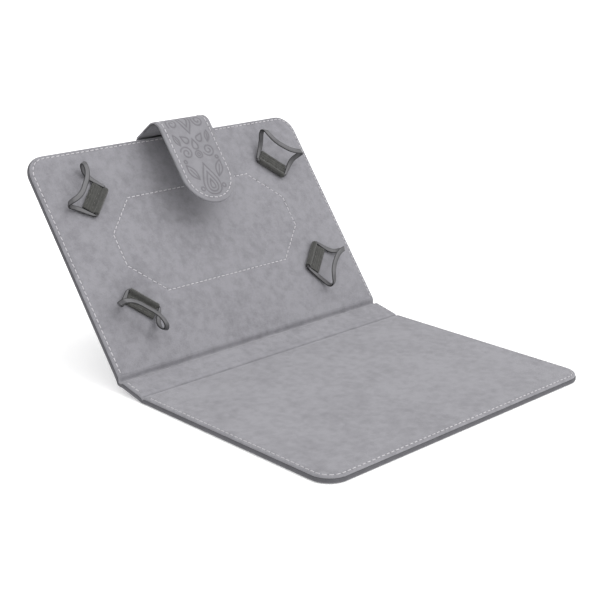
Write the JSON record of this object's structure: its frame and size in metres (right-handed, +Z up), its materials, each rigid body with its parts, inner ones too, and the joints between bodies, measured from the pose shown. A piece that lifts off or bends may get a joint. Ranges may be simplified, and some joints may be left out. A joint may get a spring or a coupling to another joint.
{
  "type": "tablet case",
  "caption": "Folding suede-lined tablet case standing open: flat cover, spine, reclined panel with elastic corner clips, closing strap and rear stand leg.",
  "frame": {"origin": "middle of the front cover's flat underside", "axes": "+X along the folds to the right, +Y from the front cover to the back panel, +Z up"},
  "size_m": [0.265, 0.3317, 0.1674],
  "materials": {
    "skin": "fine-grained soft PU leather, matt",
    "board": "pressed grey board, raw",
    "suede": "brushed microfibre suede",
    "thread": "twisted polyester thread",
    "webbing": "woven elastic webbing, matt",
    "ribbon": "grosgrain tape",
    "clip_metal": "dark nickel plating, polished",
    "plate_steel": "zinc-plated disc",
    "magnet": "nickel-plated disc magnet"
  },
  "bodies": {
    "front_cover": {"front_skin": "skin", "front_board": "board", "front_lining": "suede", "front_thread": "thread", "closure_plate": "plate_steel"},
    "spine": {"spine_skin": "skin", "spine_board": "board", "spine_lining": "suede", "spine_thread": "thread"},
    "back_panel": {"back_skin": "skin", "back_board": "board", "back_lining": "suede", "back_thread": "thread", "anchor_thread": "thread", "band_top_right": "webbing", "band_top_left": "webbing", "band_bottom_left": "webbing", "band_bottom_right": "webbing", "stand_patch": "skin", "stand_anchor": "skin", "strap_tab": "skin", "leg_ribbon": "ribbon"},
    "stand_leg": {"leg_skin": "skin", "leg_board": "board", "leg_lining": "suede"},
    "strap_riser": {"strap_riser": "skin"},
    "strap_tail": {"strap_outer": "skin", "strap_core": "board", "strap_lining": "suede", "strap_magnet": "magnet", "strap_thread": "thread"},
    "slider_top_right": {"loop_top_right": "webbing"},
    "clip_top_right": {"clip_top_right": "clip_metal"},
    "slider_top_left": {"loop_top_left": "webbing"},
    "clip_top_left": {"clip_top_left": "clip_metal"},
    "slider_bottom_left": {"loop_bottom_left": "webbing"},
    "clip_bottom_left": {"clip_bottom_left": "clip_metal"},
    "slider_bottom_right": {"loop_bottom_right": "webbing"},
    "clip_bottom_right": {"clip_bottom_right": "clip_metal"}
  },
  "joints": [
    {"name": "cover_fold", "type": "hinge", "parent": "front_cover", "child": "spine", "pos_m": [0, 0.092, 0.0005], "axis": [1, 0, 0], "range_deg": [-12, 78]},
    {"name": "panel_fold", "type": "hinge", "parent": "spine", "child": "back_panel", "pos_m": [0, 0.1189, 0.00622], "axis": [1, 0, 0], "range_deg": [-41, 49]},
    {"name": "leg_fold", "type": "hinge", "parent": "back_panel", "child": "stand_leg", "pos_m": [0, 0.1968, 0.10278], "axis": [-1, 0, 0], "range_deg": [0, 59], "deforming": ["leg_ribbon"]},
    {"name": "strap_root", "type": "hinge", "parent": "back_panel", "child": "strap_riser", "pos_m": [0, 0.22878, 0.14905], "axis": [-1, 0, 0], "range_deg": [0, 105]},
    {"name": "strap_bend", "type": "hinge", "parent": "strap_riser", "child": "strap_tail", "pos_m": [0, 0.20555, 0.16601], "axis": [-1, 0, 0], "range_deg": [0, 80]},
    {"name": "stretch_top_right", "type": "slide", "parent": "back_panel", "child": "slider_top_right", "axis": [0.7071, 0.4255, 0.5647], "range_m": [0, 0.012], "stiffness_N_per_m": 150, "springref_m": -0.003},
    {"name": "lift_top_right", "type": "hinge", "parent": "slider_top_right", "child": "clip_top_right", "pos_m": [0.086, 0.19425, 0.11785], "axis": [-0.7071, 0.4255, 0.5647], "range_deg": [-75, 0]},
    {"name": "stretch_top_left", "type": "slide", "parent": "back_panel", "child": "slider_top_left", "axis": [-0.7071, 0.4255, 0.5647], "range_m": [0, 0.012], "stiffness_N_per_m": 150, "springref_m": -0.003},
    {"name": "lift_top_left", "type": "hinge", "parent": "slider_top_left", "child": "clip_top_left", "pos_m": [-0.086, 0.19425, 0.11785], "axis": [-0.7071, -0.4255, -0.5647], "range_deg": [-75, 0]},
    {"name": "stretch_bottom_left", "type": "slide", "parent": "back_panel", "child": "slider_bottom_left", "axis": [-0.7071, -0.4255, -0.5647], "range_m": [0, 0.012], "stiffness_N_per_m": 150, "springref_m": -0.003},
    {"name": "lift_bottom_left", "type": "hinge", "parent": "slider_bottom_left", "child": "clip_bottom_left", "pos_m": [-0.086, 0.14611, 0.05396], "axis": [0.7071, -0.4255, -0.5647], "range_deg": [-75, 0]},
    {"name": "stretch_bottom_right", "type": "slide", "parent": "back_panel", "child": "slider_bottom_right", "axis": [0.7071, -0.4255, -0.5647], "range_m": [0, 0.012], "stiffness_N_per_m": 150, "springref_m": -0.003},
    {"name": "lift_bottom_right", "type": "hinge", "parent": "slider_bottom_right", "child": "clip_bottom_right", "pos_m": [0.086, 0.14611, 0.05396], "axis": [0.7071, 0.4255, 0.5647], "range_deg": [-75, 0]}
  ]
}
